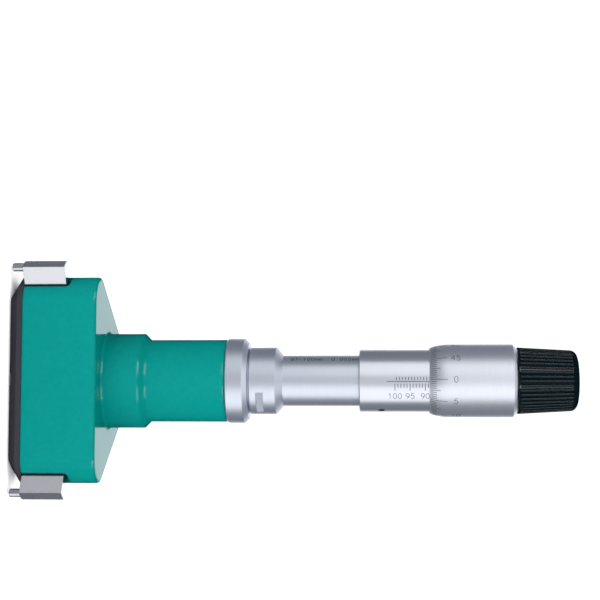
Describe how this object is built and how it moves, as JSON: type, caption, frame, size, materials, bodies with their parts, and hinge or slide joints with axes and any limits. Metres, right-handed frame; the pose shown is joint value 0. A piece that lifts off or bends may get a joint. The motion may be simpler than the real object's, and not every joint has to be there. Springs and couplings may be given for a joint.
{
  "type": "inside micrometer",
  "caption": "Three-point inside micrometer: green rounded-triangle head with sliding anvils, stepped neck, slim barrel, graduated sleeve and thimble, and a ribbed ratchet knob.",
  "frame": {"origin": "centre of the front cover's face, on the micrometer's axis", "axes": "+Z runs along the axis from the front cover up to the ratchet knob; -Y faces the sleeve's index line and one flat side of the head; the anvils lie at -150, -30 and 90 degrees from +X"},
  "size_m": [0.0786, 0.0684, 0.1871],
  "materials": {
    "green_paint": "glossy blue-green paint",
    "charcoal_cover": "satin charcoal coating",
    "satin_chrome": "satin chrome plating",
    "bright_chrome": "ground and polished",
    "carbide": "ground carbide",
    "steel": "turned steel",
    "bronze": "turned bearing bronze",
    "black_plastic": "moulded, half gloss"
  },
  "bodies": {
    "frame": {"head_body": "green_paint", "front_cover": "charcoal_cover", "cover_screws": "steel", "rod_bush": "bronze", "coupling_ring": "satin_chrome", "barrel": "satin_chrome", "adjusting_nut": "steel", "return_spring": "steel"},
    "sleeve_set": {"scale_sleeve": "satin_chrome"},
    "feed_set": {"measuring_cone": "steel", "cone_screw": "steel", "push_rod": "steel", "spring_collar": "steel", "thrust_ball": "bright_chrome"},
    "thimble_set": {"thimble": "satin_chrome", "spindle": "steel", "thimble_nut": "steel", "ratchet_wheel": "steel", "ratchet_screw": "steel"},
    "knob_set": {"ratchet_knob": "black_plastic", "knob_cap": "black_plastic", "ratchet_clutch": "steel", "ratchet_spring": "steel"},
    "jaw_set_1": {"anvil_1": "bright_chrome", "measuring_face_1": "carbide", "tip_pin_1": "carbide", "pull_screw_1": "steel", "pull_spring_1": "steel"},
    "jaw_set_2": {"anvil_2": "bright_chrome", "measuring_face_2": "carbide", "tip_pin_2": "carbide", "pull_screw_2": "steel", "pull_spring_2": "steel"},
    "jaw_set_3": {"anvil_3": "bright_chrome", "measuring_face_3": "carbide", "tip_pin_3": "carbide", "pull_screw_3": "steel", "pull_spring_3": "steel"}
  },
  "joints": [
    {"name": "feed_travel", "type": "slide", "parent": "frame", "child": "feed_set", "axis": [0, 0, -1], "range_m": [-0.00151, 0.0115], "deforming": ["return_spring"]},
    {"name": "thimble_turn", "type": "hinge", "parent": "feed_set", "child": "thimble_set", "pos_m": [0, 0, 0.15], "axis": [0, 0, -1], "range_deg": [-1083.7, 8276.5]},
    {"name": "knob_turn", "type": "hinge", "parent": "thimble_set", "child": "knob_set", "pos_m": [0, 0, 0.175], "axis": [0, 0, -1], "continuous": true},
    {"name": "sleeve_zero", "type": "hinge", "parent": "frame", "child": "sleeve_set", "pos_m": [0, 0, 0.126], "axis": [0, 0, -1], "range_deg": [-15, 15]},
    {"name": "jaw_1_slide", "type": "slide", "parent": "frame", "child": "jaw_set_1", "axis": [-0.866, -0.5, 0], "range_m": [-0.00075, 0.00575], "deforming": ["pull_spring_1"]},
    {"name": "jaw_2_slide", "type": "slide", "parent": "frame", "child": "jaw_set_2", "axis": [0.866, -0.5, 0], "range_m": [-0.00075, 0.00575], "deforming": ["pull_spring_2"]},
    {"name": "jaw_3_slide", "type": "slide", "parent": "frame", "child": "jaw_set_3", "axis": [0, 1, 0], "range_m": [-0.00075, 0.00575], "deforming": ["pull_spring_3"]}
  ],
  "couplings": [
    {"joint": "thimble_turn", "follows": "feed_travel", "rad_per_m": 12566},
    {"joint": "jaw_1_slide", "follows": "feed_travel", "ratio": 0.5},
    {"joint": "jaw_2_slide", "follows": "feed_travel", "ratio": 0.5},
    {"joint": "jaw_3_slide", "follows": "feed_travel", "ratio": 0.5}
  ]
}
